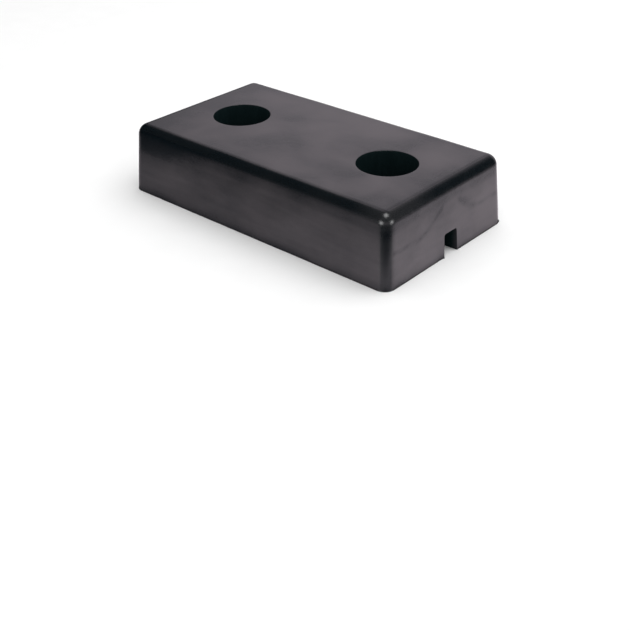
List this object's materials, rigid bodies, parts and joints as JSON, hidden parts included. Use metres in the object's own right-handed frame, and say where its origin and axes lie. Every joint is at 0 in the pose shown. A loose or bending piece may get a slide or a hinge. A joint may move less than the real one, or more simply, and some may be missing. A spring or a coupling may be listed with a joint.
{
  "type": "rubber bumper block",
  "caption": "Rectangular moulded rubber bumper block with rounded edges, counterbored bolt holes over steel inserts, and a notch at the foot of each end.",
  "frame": {"origin": "centre of the mounting face, at the foot of the block", "axes": "+Z from the mounting face to the impact face, X along the length through both bolt holes, Y across the width"},
  "size_m": [0.45, 0.245, 0.095],
  "materials": {
    "moulded_rubber": "satin moulded black rubber with faint flow marks and bloom",
    "insert_steel": "dull zinc plated steel"
  },
  "bodies": {
    "root": {"rubber_block": "moulded_rubber", "left_seat_washer": "insert_steel", "right_seat_washer": "insert_steel", "left_spacer_sleeve": "insert_steel", "right_spacer_sleeve": "insert_steel"}
  },
  "joints": []
}
